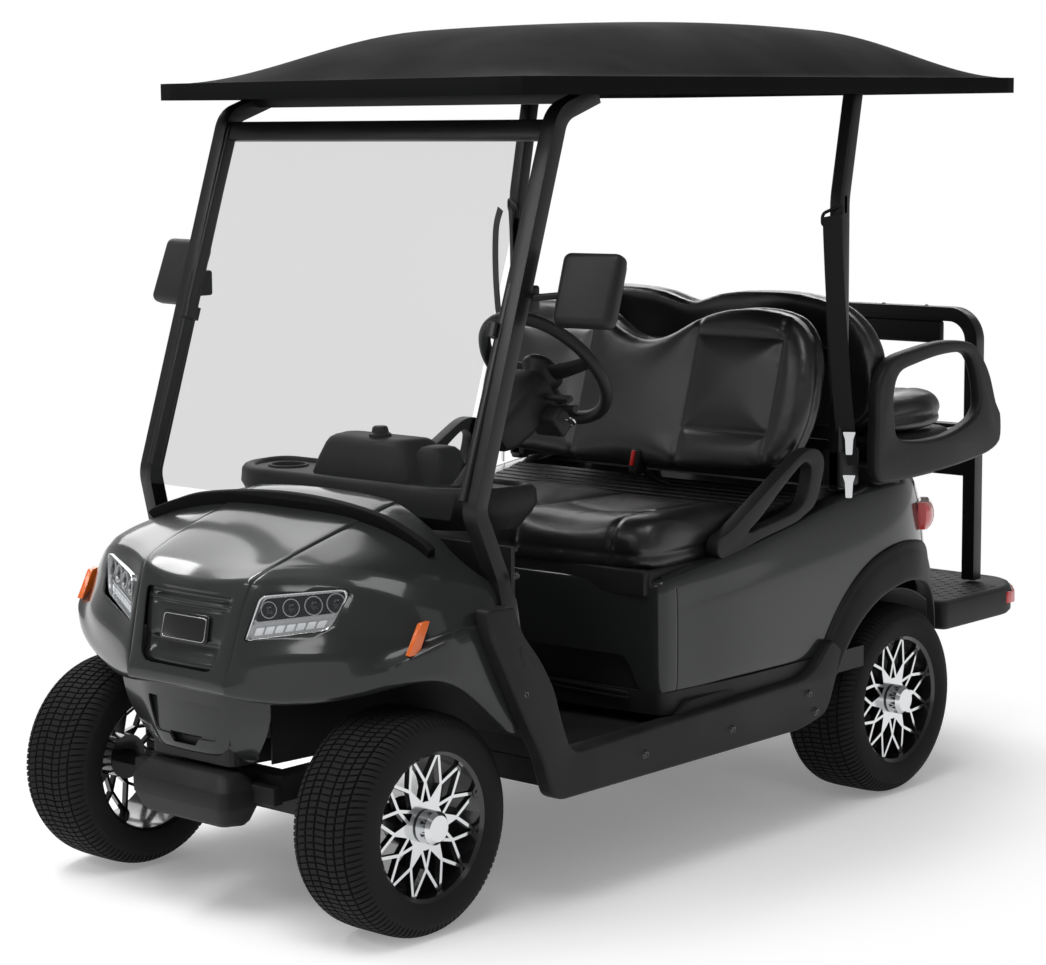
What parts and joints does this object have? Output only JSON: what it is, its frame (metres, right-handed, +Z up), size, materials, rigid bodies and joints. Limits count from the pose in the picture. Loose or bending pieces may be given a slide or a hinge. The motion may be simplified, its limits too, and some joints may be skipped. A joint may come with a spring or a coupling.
{
  "type": "golf cart",
  "caption": "Golf cart with a front bench, a rear facing bench, a framed windshield, a domed canopy and a rear footplate.",
  "frame": {"origin": "middle of the cart's length and width, on the ground under the tyres", "axes": "+Z up, the cart's front faces -Y and its left side is +X"},
  "size_m": [1.44, 2.712, 1.9399],
  "materials": {
    "body_paint": "glossy metallic paint, dark grey",
    "black_plastic": "fine grained, matt",
    "black_frame": "semi gloss powder coat",
    "roof_plastic": "satin, slightly rough",
    "tyre_rubber": "matt",
    "wheel_alloy": "machined faces on gloss black",
    "running_gear": "painted black",
    "seat_leather": "soft sheen",
    "screen_glass": "clear, light grey tint",
    "lamp_lens": "clear lens over reflectors",
    "red_lens": "clear red",
    "amber_lens": "clear amber",
    "belt_webbing": "woven webbing",
    "battery_case": "plain",
    "deck_plate": "ribbed"
  },
  "bodies": {
    "chassis": {"battery": "battery_case", "canopy": "roof_plastic", "dash": "black_plastic", "deck": "deck_plate", "drive_motor": "running_gear", "floor": "black_plastic", "footplate": "black_plastic", "frame": "running_gear", "front_axle": "running_gear", "front_backrest": "seat_leather", "front_body": "body_paint", "front_bumper": "black_plastic", "front_pillars": "black_frame", "front_wells": "black_plastic", "grab_frame": "black_frame", "grille": "body_paint", "headlamps": "lamp_lens", "hip_handles": "black_plastic", "hood_trim": "black_plastic", "leaf_springs": "running_gear", "mirrors": "black_plastic", "pedals": "running_gear", "rear_axle": "running_gear", "rear_backrest": "seat_leather", "rear_body": "body_paint", "rear_cushion": "seat_leather", "rear_pillars": "black_frame", "rear_seat_frame": "black_plastic", "rear_wells": "black_plastic", "seat_belts": "belt_webbing", "side_markers": "amber_lens", "sills": "black_plastic", "steering_column": "black_plastic", "tail_lamps": "red_lens", "windshield_frame": "black_frame", "windshield_glass": "screen_glass"},
    "steer_left": {"knuckle_left": "running_gear"},
    "steer_right": {"knuckle_right": "running_gear"},
    "tie": {"tie_rod": "running_gear"},
    "wheel_front_left": {"tyre_front_left": "tyre_rubber", "rim_front_left": "wheel_alloy"},
    "wheel_front_right": {"tyre_front_right": "tyre_rubber", "rim_front_right": "wheel_alloy"},
    "wheel_rear_left": {"tyre_rear_left": "tyre_rubber", "rim_rear_left": "wheel_alloy"},
    "wheel_rear_right": {"tyre_rear_right": "tyre_rubber", "rim_rear_right": "wheel_alloy"},
    "steering": {"steering_wheel": "black_plastic"},
    "seat": {"front_cushion": "seat_leather"}
  },
  "joints": [
    {"name": "steer_left", "type": "hinge", "parent": "chassis", "child": "steer_left", "pos_m": [0.345, -1.094, 0.24], "axis": [0, 0, 1], "range_deg": [-28, 28]},
    {"name": "steer_right", "type": "hinge", "parent": "chassis", "child": "steer_right", "pos_m": [-0.345, -1.094, 0.24], "axis": [0, 0, 1], "range_deg": [-28, 28]},
    {"name": "tie_rod_end", "type": "hinge", "parent": "steer_left", "child": "tie", "pos_m": [0.345, -0.999, 0.227], "axis": [0, 0, 1], "range_deg": [-28, 28]},
    {"name": "steering_wheel", "type": "hinge", "parent": "chassis", "child": "steering", "pos_m": [0.28, -0.434, 1.138], "axis": [0, 0.766, 0.6428], "range_deg": [-336, 336]},
    {"name": "seat_lift", "type": "hinge", "parent": "chassis", "child": "seat", "pos_m": [0, -0.394, 0.664], "axis": [1, 0, 0], "range_deg": [0, 50]},
    {"name": "wheel_front_left", "type": "hinge", "parent": "steer_left", "child": "wheel_front_left", "pos_m": [0.44, -1.094, 0.24], "axis": [1, 0, 0], "continuous": true},
    {"name": "wheel_front_right", "type": "hinge", "parent": "steer_right", "child": "wheel_front_right", "pos_m": [-0.44, -1.094, 0.24], "axis": [1, 0, 0], "continuous": true},
    {"name": "wheel_rear_left", "type": "hinge", "parent": "chassis", "child": "wheel_rear_left", "pos_m": [0.492, 0.57, 0.24], "axis": [1, 0, 0], "continuous": true},
    {"name": "wheel_rear_right", "type": "hinge", "parent": "chassis", "child": "wheel_rear_right", "pos_m": [-0.492, 0.57, 0.24], "axis": [1, 0, 0], "continuous": true}
  ],
  "couplings": [
    {"joint": "steer_right", "follows": "steer_left", "ratio": 1},
    {"joint": "tie_rod_end", "follows": "steer_left", "ratio": -1},
    {"joint": "steering_wheel", "follows": "steer_left", "ratio": 12}
  ]
}
